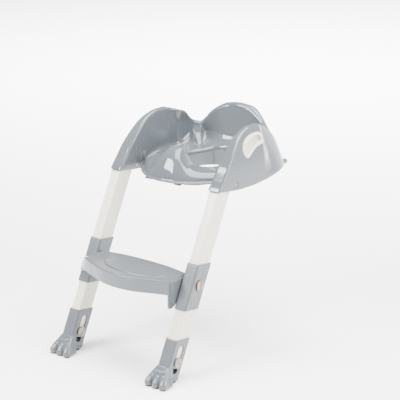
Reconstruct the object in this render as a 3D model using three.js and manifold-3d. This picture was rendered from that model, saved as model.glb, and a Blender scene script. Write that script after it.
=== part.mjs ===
// Potty training seat with a folding two-rail step ladder.
// Millimetres, +Z up, +Y to the rear of the seat, +X across the seat. The floor is z = 0.
import * as THREE from 'three';
import { mergeVertices } from 'three/addons/utils/BufferGeometryUtils.js';
import Module from 'manifold-3d';

const wasm = await Module();
wasm.setup();

// ---------------------------------------------------------------- driving dimensions
const Y_CENTRE = 273.15;          // the middle of the object from front to rear; the frame's origin is there
const LEAN = 26.7 * Math.PI / 180; // lean of the ladder from the vertical
const RAIL_X = 152;              // rail centre lines, left and right
const RAIL_W = 28.8;             // rail width across the seat
const RAIL_D = 45;               // rail depth
const RAIL_WALL = 2.2;
const LADDER_Y0 = 3;             // where the rails' front faces meet the floor
const RAIL_BOTTOM = 50;          // along the rail, from the floor
const RAIL_TOP = 499;
const SLEEVE_WALL = 2.6;
const GAP = 0.3;                 // clearance between touching pieces
const COLLAR_BOTTOM = 184;
const COLLAR_TOP = 296;
const COLLAR_RISE = 0.31;        // the sleeves' ends climb this much per millimetre to the rear
const FOOT_TOP = 114;
const SLOT_LOW = 46;             // centres of the two ends of the foot's clamp slot
const SLOT_HIGH = 97;
const SLOT_W = 17;
const CLAMP_S = 64;              // foot clamp screw, along the rail
const CLAMP_D = 23.5;
const STEP_BOLT_S = 251;
const STEP_BOLT_D = 22.5;
const PIN_Y = 281;               // fold hinge
const PIN_Z = 425;
const PIN_D = (PIN_Y - LADDER_Y0) * Math.cos(LEAN) - PIN_Z * Math.sin(LEAN); // the hinge's place in the ladder's own axes
const PIN_S = (PIN_Y - LADDER_Y0) * Math.sin(LEAN) + PIN_Z * Math.cos(LEAN);
const STEP_Z = 235;              // top of the step
const SKIN = 3;                  // wall of the seat moulding
const OUT_X = 170;               // half width of the seat moulding
const BACK_Y = 560;
const CORNER_Y = 430;            // where the side panels start to turn into the back
const CORNER_N = 2.6;            // superellipse exponent of that turn
const THROAT_A = 72;             // half width of the opening
const THROAT_B = 98;             // half length of the opening
const THROAT_Y = 372;
const THROAT_BOTTOM = 398;
const FLANGE_TOP = 424;
const FLANGE_BOTTOM = 421;

// ---------------------------------------------------------------- colours
const GREY = new THREE.Color(0x8d949b);
const STEP_GREY = new THREE.Color(0x868e95);
const WHITE = new THREE.Color(0xecebe3);
const RUBBER = new THREE.Color(0x2b2b2c);
const NICKEL = new THREE.Color(0x9c9184);
const look = {
  gloss: () => new THREE.MeshStandardMaterial({ color: GREY, roughness: 0.18, metalness: 0 }),
  satin: () => new THREE.MeshStandardMaterial({ color: STEP_GREY, roughness: 0.42, metalness: 0 }),
  white: () => new THREE.MeshStandardMaterial({ color: WHITE, roughness: 0.35, metalness: 0 }),
  rubber: () => new THREE.MeshStandardMaterial({ color: RUBBER, roughness: 0.85, metalness: 0 }),
  metal: () => new THREE.MeshStandardMaterial({ color: NICKEL, roughness: 0.35, metalness: 1 }),
};

// ---------------------------------------------------------------- small tools
const lerp = (a, b, t) => a + (b - a) * t;
const clamp = (x, a, b) => Math.min(b, Math.max(a, x));
const smooth = (a, b, x) => { const t = clamp((x - a) / (b - a), 0, 1); return t * t * (3 - 2 * t); };

// Monotone piecewise cubic through a table of [x, y] pairs.
function table(rows) {
  const n = rows.length, h = [], d = [], m = new Array(n);
  for (let i = 0; i < n - 1; i++) { h.push(rows[i + 1][0] - rows[i][0]); d.push((rows[i + 1][1] - rows[i][1]) / h[i]); }
  m[0] = d[0]; m[n - 1] = d[n - 2];
  for (let i = 1; i < n - 1; i++) m[i] = d[i - 1] * d[i] <= 0 ? 0 : 3 * (h[i - 1] + h[i]) / ((2 * h[i] + h[i - 1]) / d[i - 1] + (h[i] + 2 * h[i - 1]) / d[i]);
  return x => {
    if (x <= rows[0][0]) return rows[0][1] + (x - rows[0][0]) * m[0];
    if (x >= rows[n - 1][0]) return rows[n - 1][1];
    let i = 0; while (x > rows[i + 1][0]) i++;
    const t = (x - rows[i][0]) / h[i], t2 = t * t, t3 = t2 * t;
    return (2 * t3 - 3 * t2 + 1) * rows[i][1] + (t3 - 2 * t2 + t) * h[i] * m[i] + (-2 * t3 + 3 * t2) * rows[i + 1][1] + (t3 - t2) * h[i] * m[i + 1];
  };
}

function solid(geometry, matrix) {
  let g = geometry.clone();
  if (matrix) g.applyMatrix4(matrix);
  g.deleteAttribute('normal'); g.deleteAttribute('uv');
  g = mergeVertices(g, 1e-4);
  const index = [];
  const src = g.index.array;
  for (let i = 0; i < src.length; i += 3) if (src[i] !== src[i + 1] && src[i + 1] !== src[i + 2] && src[i] !== src[i + 2]) index.push(src[i], src[i + 1], src[i + 2]);
  return new wasm.Manifold(new wasm.Mesh({ numProp: 3, vertProperties: new Float32Array(g.attributes.position.array), triVerts: new Uint32Array(index) }));
}

function geometryOf(manifold) {
  const mesh = manifold.getMesh();
  const g = new THREE.BufferGeometry();
  g.setAttribute('position', new THREE.BufferAttribute(new Float32Array(mesh.vertProperties), 3));
  g.setIndex(new THREE.BufferAttribute(new Uint32Array(mesh.triVerts), 1));
  g.computeVertexNormals();
  return g;
}

// A loft through rings of points: each ring is a closed loop, the two ends are capped with fans.
function ringLoft(rings, closed = false) {
  const n = rings[0].length, pos = [], idx = [];
  for (const ring of rings) for (const p of ring) pos.push(p[0], p[1], p[2]);
  const at = (i, j) => (i % rings.length) * n + (j % n);
  const last = closed ? rings.length : rings.length - 1;
  for (let i = 0; i < last; i++) for (let j = 0; j < n; j++) {
    const a = at(i, j), b = at(i + 1, j), c = at(i + 1, j + 1), d = at(i, j + 1);
    idx.push(a, b, c, a, c, d);
  }
  if (!closed) {
    for (const [k, flip] of [[0, false], [rings.length - 1, true]]) {
      const c = [0, 0, 0];
      for (const p of rings[k]) for (let q = 0; q < 3; q++) c[q] += p[q] / n;
      const ci = pos.length / 3; pos.push(...c);
      for (let j = 0; j < n; j++) flip ? idx.push(ci, at(k, j + 1), at(k, j)) : idx.push(ci, at(k, j), at(k, j + 1));
    }
  }
  const g = new THREE.BufferGeometry();
  g.setAttribute('position', new THREE.Float32BufferAttribute(pos, 3));
  g.setIndex(idx);
  // Faces point out: a negative volume means that the winding is reversed.
  let vol = 0; const A = new THREE.Vector3(), B = new THREE.Vector3(), C = new THREE.Vector3();
  for (let i = 0; i < idx.length; i += 3) {
    A.fromArray(pos, idx[i] * 3); B.fromArray(pos, idx[i + 1] * 3); C.fromArray(pos, idx[i + 2] * 3);
    vol += A.dot(B.clone().cross(C));
  }
  if (vol < 0) for (let i = 0; i < idx.length; i += 3) { const t = idx[i]; idx[i] = idx[i + 1]; idx[i + 1] = t; }
  g.setIndex(idx);
  return g;
}

const move = (x, y, z) => new THREE.Matrix4().makeTranslation(x, y, z);
const box = (x0, y0, z0, x1, y1, z1) => solid(new THREE.BoxGeometry(x1 - x0, y1 - y0, z1 - z0), move((x0 + x1) / 2, (y0 + y1) / 2, (z0 + z1) / 2));
const rodX = (x0, x1, y, z, r, seg = 16) => solid(new THREE.CylinderGeometry(r, r, x1 - x0, seg), new THREE.Matrix4().makeTranslation((x0 + x1) / 2, y, z).multiply(new THREE.Matrix4().makeRotationZ(Math.PI / 2)));

function shapeOf(points) { const s = new THREE.Shape(); points.forEach((p, i) => i ? s.lineTo(p[0], p[1]) : s.moveTo(p[0], p[1])); s.closePath(); return s; }
// An outline given in (y, z), extruded along X from x0 to x1.
function prismX(points, x0, x1) {
  const g = new THREE.ExtrudeGeometry(shapeOf(points), { depth: x1 - x0, bevelEnabled: false, steps: 1 });
  const m = new THREE.Matrix4().makeBasis(new THREE.Vector3(0, 1, 0), new THREE.Vector3(0, 0, 1), new THREE.Vector3(1, 0, 0)).setPosition(x0, 0, 0);
  return solid(g, m);
}
// An outline given in (x, y), extruded along Z from z0 to z1.
const prismZ = (points, z0, z1) => solid(new THREE.ExtrudeGeometry(shapeOf(points), { depth: z1 - z0, bevelEnabled: false, steps: 1 }), move(0, 0, z0));

function roundRect(w, h, r, seg = 3) {
  const out = [];
  for (const [cx, cy, a] of [[w / 2 - r, h / 2 - r, 0], [-w / 2 + r, h / 2 - r, 90], [-w / 2 + r, -h / 2 + r, 180], [w / 2 - r, -h / 2 + r, 270]])
    for (let i = 0; i <= seg; i++) { const t = (a + 90 * i / seg) * Math.PI / 180; out.push([cx + r * Math.cos(t), cy + r * Math.sin(t)]); }
  return out;
}
function slotOutline(y0, z0, y1, z1, w, seg = 8) {
  const a = Math.atan2(z1 - z0, y1 - y0), out = [];
  for (let i = 0; i <= seg; i++) { const t = a - Math.PI / 2 + Math.PI * i / seg; out.push([y1 + w / 2 * Math.cos(t), z1 + w / 2 * Math.sin(t)]); }
  for (let i = 0; i <= seg; i++) { const t = a + Math.PI / 2 + Math.PI * i / seg; out.push([y0 + w / 2 * Math.cos(t), z0 + w / 2 * Math.sin(t)]); }
  return out;
}

// ---------------------------------------------------------------- seat: arms and back as one swept wall
// A station p runs from the front of an arm (p = y) to the start of the turn (p = CORNER_Y), then CORNER_Y + angle
// in degrees, to CORNER_Y + 90 on the centre line of the back.
const CREST = table([[190, 372], [200, 396], [211, 421], [228, 443], [241, 460], [252, 475], [264.5, 489], [279, 505], [289, 515], [300, 525], [315, 535], [335, 543.5], [360, 549], [385, 549], [410, 543.5], [430, 536], [440, 523], [450, 509], [462, 499], [474, 495], [483, 506], [491.6, 523], [501.6, 538.5], [510.6, 550], [520, 555]]);
function station(p) {
  if (p <= CORNER_Y) return { o: [OUT_X, p], n: [1, 0], t: 0 };
  const a = (p - CORNER_Y) * Math.PI / 180, e = 2 / CORNER_N;
  const c = Math.max(Math.cos(a), 0), s = Math.sin(a);
  const A = OUT_X, B = BACK_Y - CORNER_Y;
  const o = [A * c ** e, CORNER_Y + B * s ** e];
  const n = [c ** (2 - e) / A, s ** (2 - e) / B], l = Math.hypot(...n);
  return { o, n: [n[0] / l, n[1] / l], t: smooth(20, 75, p - CORNER_Y) };
}
// Distance of the outer and inner faces inward from the outline, at height z.
const turn = p => [smooth(-40, 12, p - CORNER_Y) * (1 - smooth(50, 85, p - CORNER_Y)), smooth(50, 85, p - CORNER_Y)];
function outerIn(z, p) {
  const [wc, wb] = turn(p);
  const arm = 20 * clamp((z - 430) / 122, 0, 1.2) ** 2.2;
  const corner = 33 * clamp((z - 421) / 85, 0, 1.4) ** 1.15;
  const back = 25 * clamp((z - 421) / 132, 0, 1.1) ** 1.2;
  return arm * (1 - wc - wb) + corner * wc + back * wb;
}
function innerIn(z, p) {
  const [wc, wb] = turn(p);
  const base = 35.8 * (1 - wc - wb) + 46 * wc + (65 - 17 * clamp((z - 450) / 95, -0.2, 1.1)) * wb;
  const least = outerIn(z, p) + 14.5;
  return base + 0.5 * (least - base + Math.sqrt((least - base) ** 2 + 16)) * Math.min(1, wc + wb + 0.02);
}
function wallRing(p, off, low) {
  const { o, n, t } = station(p);
  const dp = 0.5;
  let slope = 0;
  if (p <= CORNER_Y) slope = (CREST(p + dp) - CREST(p - dp)) / (2 * dp);
  const m = Math.sqrt(1 + slope * slope);
  const top = CREST(p) + off * m;
  const r = clamp(lerp(7, 10, t) + off, 1.5, 14);
  const span = innerIn(top, p) - outerIn(top, p) + 2 * off;
  const rx = Math.min(r, span / 2 - 0.3);
  const rz = Math.min(r * Math.min(m, 2.2), Math.max((top - low) * 0.45, 0.2));
  const pts = [];
  const N = 4, K = off < -1 ? 2 : 3;
  const face = (z, side) => side < 0 ? innerIn(z, p) + off : outerIn(z, p) - off;
  for (let i = 0; i <= N; i++) { const z = lerp(low, top - rz, i / N); pts.push([face(z, -1), z]); }
  const zi = top - rz;
  for (let i = 1; i <= K; i++) { const a = Math.PI / 2 * i / K; pts.push([face(zi + rz * Math.sin(a), -1) - rx * (1 - Math.cos(a)), zi + rz * Math.sin(a)]); }
  for (let i = K; i >= 1; i--) { const a = Math.PI / 2 * i / K; pts.push([face(zi + rz * Math.sin(a), 1) + rx * (1 - Math.cos(a)), zi + rz * Math.sin(a)]); }
  for (let i = N; i >= 0; i--) { const z = lerp(low, top - rz, i / N); pts.push([face(z, 1), z]); }
  return pts.map(([d, z]) => [o[0] - n[0] * d, o[1] - n[1] * d, z]);
}
const ARM_P = [213, 224, 236, 250, 264, 278, 290, 303, 318, 338, 362, 388, 410, 430];
const TURN_P = [438, 447, 456, 465, 474, 482, 490, 498, 508, 520];
function wallSolid(off, low, front) {
  const half = [front, ...ARM_P.filter(p => p > front + 3), ...TURN_P];
  const rings = half.map(p => wallRing(p, off, low));
  const left = half.slice(0, -1).reverse().map(p => wallRing(p, off, low).map(([x, y, z]) => [-x, y, z]));
  return solid(ringLoft([...rings, ...left]));
}

// ---------------------------------------------------------------- seat: opening, splash guard, sitting surface and flange
const RIM = table([[0, 495], [12, 488], [22, 476], [27, 468], [33, 459], [43, 450.5], [60, 445], [90, 441], [135, 442], [180, 446]]);
const OUTLINE = [];
{
  const front = table([[0, 199], [30, 202.5], [55, 213], [76, 227], [96, 244], [112, 262], [126, 280]]);
  for (let i = 0; i <= 24; i++) { const x = 126 * i / 24; OUTLINE.push([x, front(x)]); }
  OUTLINE.push([135.8, 290]);
  for (let y = 300; y < CORNER_Y; y += 12) OUTLINE.push([OUT_X - innerIn(448, y) + 1.5, y]);
  for (let p = CORNER_Y; p <= CORNER_Y + 90; p += 3) { const { o, n, t } = station(p); const d = innerIn(448, p) - 1.5; OUTLINE.push([Math.max(o[0] - n[0] * d, 0), o[1] - n[1] * d]); }
}
function reach(e, n) {
  let best = 1e9;
  for (let i = 0; i < OUTLINE.length - 1; i++) {
    const [ax, ay] = OUTLINE[i], [bx, by] = OUTLINE[i + 1], dx = bx - ax, dy = by - ay;
    const det = n[0] * -dy + n[1] * dx;
    if (Math.abs(det) < 1e-9) continue;
    const s = ((ax - e[0]) * -dy + (ay - e[1]) * dx) / det;
    const k = (n[0] * (ay - e[1]) - n[1] * (ax - e[0])) / det;
    if (s > 0 && k >= -1e-6 && k <= 1 + 1e-6 && s < best) best = s;
  }
  return best;
}
function baseRing(deg) {
  const u = deg * Math.PI / 180, mirror = deg > 180 ? -1 : 1;
  const ua = mirror < 0 ? 2 * Math.PI - u : u, da = ua * 180 / Math.PI;
  const e = [THROAT_A * Math.sin(ua), THROAT_Y - THROAT_B * Math.cos(ua)];
  let n = [Math.sin(ua) / THROAT_A, -Math.cos(ua) / THROAT_B];
  const l = Math.hypot(...n); n = [n[0] / l, n[1] / l];
  const Q = da < 0.01 ? THROAT_Y - THROAT_B - OUTLINE[0][1] : da > 179.99 ? OUTLINE.at(-1)[1] - e[1] : reach(e, n);
  const end = [e[0] + n[0] * Q, e[1] + n[1] * Q];
  const onFlange = 1 - smooth(300, 372, end[1]);
  const zr = RIM(da), zf = lerp(446, FLANGE_TOP, onFlange);
  const flat = 13 * (1 - smooth(262, 320, end[1]));
  const qf = Q - flat;
  const fil = 9 * (1 - onFlange);
  const H = q => {
    const t = clamp((q - 9) / (qf - 9), 0, 1);
    const full = 1 - smooth(6, 36, da);
    const g = full * (0.55 * (1 - t * t) + 0.225 * (1 + Math.cos(Math.PI * t))) + (1 - full) * 0.5 * (1 + Math.cos(Math.PI * t ** 0.8));
    return zf + (zr - zf) * g + fil * smooth(0.6, 1, t);
  };
  const top = [[1, THROAT_BOTTOM], [0, 415], [1, zr - 9], [3.6, zr - 3], [9.5, zr]];
  for (const f of [0.17, 0.34, 0.51, 0.68, 0.84, 1]) { const q = lerp(9.5, qf, f); top.push([q, H(q)]); }
  top.push([Math.max(Q, qf + 0.5), H(qf)]);
  const under = top.map((p, i) => {
    const a = top[Math.max(i - 1, 0)], b = top[Math.min(i + 1, top.length - 1)];
    let nx = b[1] - a[1], nz = -(b[0] - a[0]); const k = Math.hypot(nx, nz);
    return [p[0] + nx / k * SKIN, p[1] + nz / k * SKIN];
  });
  under[0] = [top[0][0] + SKIN, THROAT_BOTTOM];
  const z1 = top.at(-1)[1];
  under[under.length - 1] = [top.at(-1)[0], z1 - SKIN];
  const loop = [...top, ...under.reverse()];
  return loop.map(([q, z]) => [mirror * (e[0] + n[0] * q), e[1] + n[1] * q, z]);
}
const BASE_DEG = [0, 8, 16, 24, 32, 40, 48, 56, 63, 70, 78, 88, 99, 111, 123, 135, 147, 159, 170, 180];
const baseDegs = [...BASE_DEG, ...BASE_DEG.slice(1, -1).reverse().map(d => 360 - d)];
const baseShell = solid(ringLoft(baseDegs.map(baseRing), true));

// ---------------------------------------------------------------- seat moulding
const wallOuter = wallSolid(0, 385, 198);
const wallInner = wallSolid(-SKIN, 368, 204);
const bottomLine = [[150, 431], [262, 413.2], [300, 409], [350, 407], [400, 409], [440, 414], [482, 421], [640, 421]];
const bottomCut = prismX([...bottomLine, [640, 340], [150, 340]], -200, 200);
const innerCut = box(-146, 300, 340, 146, 517, FLANGE_BOTTOM);
let seat = wallOuter.subtract(wallInner).subtract(bottomCut).subtract(innerCut);
seat = seat.add(baseShell);

// Hand hold cut-outs in the side panels, in (y, z).
const HOLD = [[322, 482], [314, 493], [312.5, 504], [317, 516], [330, 525.5], [350, 531.5], [372, 533], [388, 530.5], [397, 523], [399.5, 513], [397, 505], [388, 501.5], [370, 498.5], [353, 491.5], [341, 483.5], [331, 479]];
const HOLD_IN = [[325.5, 489], [321.5, 497], [321.5, 505], [327, 512.5], [338, 518.5], [354, 523.5], [372, 525.5], [384, 524], [390, 519], [391, 513], [387, 509.5], [370, 506.5], [351, 499.5], [339, 491.5], [331, 487]];
const grow = (pts, k) => { const c = pts.reduce((s, p) => [s[0] + p[0] / pts.length, s[1] + p[1] / pts.length], [0, 0]); return pts.map(p => { const d = [p[0] - c[0], p[1] - c[1]], l = Math.hypot(...d); return [p[0] + d[0] / l * k, p[1] + d[1] / l * k]; }); };
const wallProud = wallSolid(0.8, 380, 196);
const wallDeep = wallSolid(-11.5, 380, 230);
const wallPocket = wallSolid(-9.5, 380, 226);
const holdInserts = {};
for (const side of [1, -1]) {
  const prism = (pts, a, b) => side > 0 ? prismX(pts, a, b) : prismX(pts, -b, -a);
  seat = seat.subtract(prism(HOLD, 147, 176));
  const body = prism(grow(HOLD, -0.4), 147, 176).intersect(wallProud).subtract(wallDeep);
  holdInserts[side] = body.subtract(prism(HOLD_IN, 140, 180).subtract(wallPocket));
}
// Fold hinge: a bearing hole with a counterbore in the outer panel, and a blind boss on the inner wall.
for (const side of [1, -1]) {
  const rx = (a, b, r) => side > 0 ? rodX(a, b, PIN_Y, PIN_Z, r) : rodX(-b, -a, PIN_Y, PIN_Z, r);
  seat = seat.add(rx(135.5, 139, 8)).add(rx(164.6, 168.5, 11));
  seat = seat.subtract(rx(136, 150, 4)).subtract(rx(150, 175, 4)).subtract(rx(167.6, 175, 6.2));
  // three rounded flutes at the foot of the arm's inner wall
  for (const [y, z0, z1] of [[270, 424, 466], [288, 424, 458], [305, 426, 450]]) {
    const flute = solid(new THREE.SphereGeometry(1, 12, 8), new THREE.Matrix4().makeTranslation(side * 135.2, y, (z0 + z1) / 2).multiply(new THREE.Matrix4().makeScale(3.4, 7, (z1 - z0) / 2)));
    seat = seat.add(flute.intersect(side > 0 ? box(120, 240, 400, 136.5, 330, 480) : box(-136.5, 240, 400, -120, 330, 480)));
  }
  // support ribs under the sitting surface and the lugs at the rear corners
  seat = seat.add(side > 0 ? box(96, 362, FLANGE_BOTTOM, 136, 374, 442) : box(-136, 362, FLANGE_BOTTOM, -96, 374, 442));
  seat = seat.add(box(side * 60 - 6, 478, FLANGE_BOTTOM, side * 60 + 6, 512, 444));
  seat = seat.add(solid(new THREE.CylinderGeometry(7, 7, 12, 20), new THREE.Matrix4().makeTranslation(side * 148, 513, 427).multiply(new THREE.Matrix4().makeRotationX(Math.PI / 2))).intersect(box(-170, 480, 421, 170, 540, 440)));
}

// ---------------------------------------------------------------- ladder, in its own axes
// x across, y into the depth of the rails (0 = front face), z along the rails from the floor.
const ladder = new THREE.Group();
ladder.position.set(0, LADDER_Y0, 0);
ladder.rotation.x = -LEAN;
const ladderMatrix = new THREE.Matrix4().makeTranslation(0, LADDER_Y0, 0).multiply(new THREE.Matrix4().makeRotationX(-LEAN));
const ladderInverse = ladderMatrix.clone().invert();

const centred = (pts, cx, cy) => pts.map(([x, y]) => [x + cx, y + cy]);
function railSolid(x) {
  let s = prismZ(centred(roundRect(RAIL_W, RAIL_D, 4.5), x, RAIL_D / 2), RAIL_BOTTOM, RAIL_TOP);
  s = s.subtract(prismZ(centred(roundRect(RAIL_W - 2 * RAIL_WALL, RAIL_D - 2 * RAIL_WALL, 2.6), x, RAIL_D / 2), RAIL_BOTTOM - 5, RAIL_TOP + 5));
  s = s.subtract(prismX([[-5, 464], [0, 468], [13, 500], [13, 530], [-5, 530]], x - 30, x + 30));
  s = s.subtract(rodX(x - 30, x + 30, CLAMP_D, CLAMP_S, 4.4));
  s = s.subtract(rodX(x - 30, x + 30, STEP_BOLT_D, STEP_BOLT_S, 4.4));
  return s;
}
function slopedEnds(s, bottom, top) {
  const r = COLLAR_RISE;
  s = s.subtract(prismX([[-20, top - 20 * r], [80, top + 80 * r], [80, top + 120], [-20, top + 120]], -250, 250));
  if (bottom !== null) s = s.subtract(prismX([[-20, bottom - 20 * r], [80, bottom + 80 * r], [80, bottom - 60], [-20, bottom - 60]], -250, 250));
  return s;
}
function sleeve(x, z0, z1, wall = SLEEVE_WALL) {
  const w = RAIL_W + 2 * (GAP + wall), d = RAIL_D + 2 * (GAP + wall);
  return prismZ(centred(roundRect(w, d, 6), x, RAIL_D / 2), z0, z1)
    .subtract(prismZ(centred(roundRect(RAIL_W + 2 * GAP, RAIL_D + 2 * GAP, 4.6), x, RAIL_D / 2), z0 - 5, z1 + 5));
}
const SLEEVE_W = RAIL_W + 2 * (GAP + SLEEVE_WALL);
function collarSolid(x) {
  let s = slopedEnds(sleeve(x, COLLAR_BOTTOM - 10, COLLAR_TOP + 30), COLLAR_BOTTOM, COLLAR_TOP);
  return s.subtract(rodX(x - 30, x + 30, STEP_BOLT_D, STEP_BOLT_S, 4.4));
}
function hingeBlock(x) {
  const w = RAIL_W - 2 * RAIL_WALL - 0.8, d = RAIL_D - 2 * RAIL_WALL - 0.8;
  let s = prismZ(centred(roundRect(w, d, 2.4), x, RAIL_D / 2), 430, RAIL_TOP + 1);
  const lug = [[9, RAIL_TOP + 0.4], [13.5, 515], [24, 519]];
  for (let i = 0; i <= 10; i++) { const a = Math.PI / 2 - Math.PI * i / 10; lug.push([PIN_D + 12 * Math.cos(a), PIN_S + 12 * Math.sin(a)]); }
  lug.push([46, PIN_S - 11], [46, RAIL_TOP + 0.4]);
  s = s.add(prismX(lug, x - 12, x + 12));
  s = s.subtract(prismX([[-5, 462], [3, 466], [15.5, 502], [15.5, 540], [-5, 540]], x - 30, x + 30));
  s = s.subtract(rodX(x - 30, x + 30, PIN_D, PIN_S, 4));
  // cored out from below
  return s.subtract(prismZ(centred(roundRect(w - 6, d - 6, 1.6), x, RAIL_D / 2 + 2), 425, 492).subtract(prismX([[-5, 440], [6, 440], [19, 492], [19, 540], [-5, 540]], x - 30, x + 30)));
}

// ---------------------------------------------------------------- step
const stepFront = table([[-133.5, 73], [-110, 61.5], [-90, 54], [-70, 45.5], [-40, 36], [0, 32], [40, 36], [70, 45.5], [90, 54], [110, 61.5], [133.5, 70]]);
const stepBack = table([[0, 155], [60, 152.5], [100, 146], [133.5, 139]]);
const STEP_X = RAIL_X - SLEEVE_W / 2 - GAP;
const STEP_RIGHT = 130;          // the right end of the plate stops short of its collar
function stepOutline(inset) {
  const f = [], b = [], L = -STEP_X + inset, R = STEP_RIGHT - inset;
  for (let i = 0; i <= 20; i++) { const x = lerp(L, R, i / 20); f.push([x, stepFront(x) + inset]); }
  for (let i = 8; i >= -8; i--) { const x = i > 0 ? R * i / 8 : -L * i / 8; b.push([x, stepBack(Math.abs(x)) - inset]); }
  return [...f, ...b];
}
function stepSolid() {
  const rings = [];
  const skirt = 200;
  for (const [z, inset] of [[skirt, 1.2], [skirt + 28, 0.2], [STEP_Z - 2.6, 0.2], [STEP_Z - 0.8, 1.0], [STEP_Z, 3.0]]) rings.push(stepOutline(inset).map(([x, y]) => [x, y, z]));
  let s = solid(ringLoft(rings));
  s = s.subtract(prismZ(stepOutline(4), skirt - 5, STEP_Z - 3.5));
  // ribs under the plate
  for (const x of [-66, 0, 66]) s = s.add(box(x - 1.5, stepFront(x) + 2, skirt + 6, x + 1.5, stepBack(Math.abs(x)) - 2, STEP_Z - 2));
  s = s.add(box(-STEP_X + 2, 94, skirt + 6, STEP_X - 2, 97, STEP_Z - 2));
  // end gussets, tapering down in front of the rails, and bosses for the cross bolts
  const gusset = [[69.5, 232], [70.5, 166], [86, 163], [120, 205], [136, 205], [136, 232]];
  s = s.add(prismX(gusset, STEP_RIGHT - 4, STEP_RIGHT));
  s = s.add(prismX([[112, 232], [112, 196], [104, 172], [120, 172], [136, 205], [136, 232]], -STEP_X, -STEP_X + 4));
  // the skirt runs on across the front of the left collar, dropping as it goes
  const collarFront = z => LADDER_Y0 + z * Math.tan(LEAN) - (GAP + SLEEVE_WALL) / Math.cos(LEAN);
  const wrap = [];
  for (const t of [0, 0.25, 0.5, 0.75, 1]) {
    const x = lerp(-STEP_X + 3, -168.8, t), zt = STEP_Z - 0.4 - 16 * t ** 1.3, zb = 200 - 11 * t;
    const yf = z => lerp(73 + (STEP_Z - z) * 0.02, collarFront(z) - 2.2, t ** 1.25);
    wrap.push([[x, yf(zb), zb], [x, collarFront(zb) - 0.4, zb], [x, collarFront(zt) - 0.4, zt], [x, yf(zt) + 2 * (1 - t), zt], [x, yf(zt - 2), zt - 2 + 1.2 * t]]);
  }
  s = s.add(solid(ringLoft(wrap)));
  // raised anti-slip pad with shallow ribs
  const pad = []; for (let i = 0; i < 36; i++) { const a = 2 * Math.PI * i / 36; pad.push([78 * Math.cos(a), 98 + 42 * Math.sin(a)]); }
  s = s.add(prismZ(pad, STEP_Z - 1, STEP_Z + 1));
  for (const y of [74, 86, 98, 110, 122]) { const h = 64 * Math.sqrt(1 - ((y - 98) / 42) ** 2); s = s.add(prismZ(roundRect(2 * h, 3.4, 1.6, 2).map(([a, b]) => [a, b + y]), STEP_Z + 0.5, STEP_Z + 2)); }
  return s;
}

// ---------------------------------------------------------------- feet
const TOE_X = [-22.5, -1, 20.5];   // from the rail's centre line, inner toe first
function footSolid(x) {
  // sleeve, in ladder axes, then taken to the floor frame
  let s = slopedEnds(sleeve(x, 20, FOOT_TOP + 30), null, FOOT_TOP);
  s = s.subtract(prismX(slotOutline(CLAMP_D, SLOT_LOW, CLAMP_D, SLOT_HIGH, SLOT_W), x - 30, x + 30));
  let g = solid(geometryOf(s), ladderMatrix);
  // instep: a loft from the sleeve down to the floor, hollow above, with three toes
  const ring = (cy, cz, w, d, r, tilt) => roundRect(w, d, r, 3).map(([a, b]) => [x + a, cy + b * Math.cos(tilt), cz - b * Math.sin(tilt)]);
  const body = solid(ringLoft([
    ring(24, 3.2, SLEEVE_W + 1, 56, 7, 0), ring(25, 12, SLEEVE_W + 0.6, 54, 7, 0.05), ring(29.5, 26, SLEEVE_W + 0.2, 51.5, 6.5, 0.2), ring(LADDER_Y0 + 22.5 * Math.cos(LEAN) + 46 * Math.sin(LEAN), -22.5 * Math.sin(LEAN) + 46 * Math.cos(LEAN), SLEEVE_W, RAIL_D + 2 * (GAP + SLEEVE_WALL), 6, LEAN),
  ]));
  const railHole = solid(geometryOf(prismZ(centred(roundRect(RAIL_W + 2 * GAP, RAIL_D + 2 * GAP, 4.6), x, RAIL_D / 2), 27, 200)), ladderMatrix);
  const slotHole = solid(geometryOf(prismX(slotOutline(CLAMP_D, SLOT_LOW, CLAMP_D, SLOT_HIGH, SLOT_W), x - 40, x + 40)), ladderMatrix);
  g = g.add(body);
  for (const toeX of TOE_X) {
    const k = Math.sign(x) * toeX;
    const toe = [];
    for (const [y, z, ry, rx] of [[30, 50, 5, 5], [20, 43, 8, 7], [9, 33, 11, 8.8], [1, 21, 12.5, 10], [-2.5, 12, 11.2, 10.6], [-3.5, 5.5, 9.5, 10.5], [-3.5, 3.2, 8.6, 10.2]]) {
      const r = []; for (let i = 0; i < 14; i++) { const a = 2 * Math.PI * i / 14; r.push([x + k * (z > 40 ? 0.7 : 1) + rx * Math.cos(a), y + ry * Math.sin(a), z]); }
      toe.push(r);
    }
    g = g.add(solid(ringLoft(toe)));
  }
  g = g.subtract(railHole).subtract(slotHole);
  g = g.subtract(box(x - 60, -40, -20, x + 60, 90, 3.2));
  return g;
}
function soleSolid(x) {
  const pts = [];
  // heel, sides and three toe rounds
  pts.push([x - 13, 51.5], [x - 17.4, 47], [x - 17.6, 18], [x - 21, 8]);
  for (const toeX of (x > 0 ? TOE_X : [...TOE_X].reverse())) for (let i = 0; i <= 6; i++) { const k = Math.sign(x) * toeX; const a = Math.PI * (200 + 140 * i / 6) / 180; pts.push([x + k + 9.4 * Math.cos(a), -3.5 + 8 * Math.sin(a)]); }
  pts.push([x + 21, 8], [x + 17.6, 18], [x + 17.4, 47], [x + 13, 51.5]);
  return prismZ(pts, 0, 3.2 - GAP);
}

// ---------------------------------------------------------------- fasteners, on axes along X
function headX(x0, x1, y, z, r) { // domed head with a coin slot, its outer face at x1
  const out = x1 > x0 ? 1 : -1, h = Math.abs(x1 - x0);
  const prof = [[0, 0], [r, 0], [r, h * 0.55], [r * 0.93, h * 0.8], [r * 0.7, h * 0.95], [0, h]].map(p => new THREE.Vector2(p[0], p[1]));
  const g = new THREE.LatheGeometry(prof, 20);
  const m = new THREE.Matrix4().makeTranslation(x0, y, z).multiply(new THREE.Matrix4().makeRotationZ(-out * Math.PI / 2));
  return solid(g, m);
}
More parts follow.
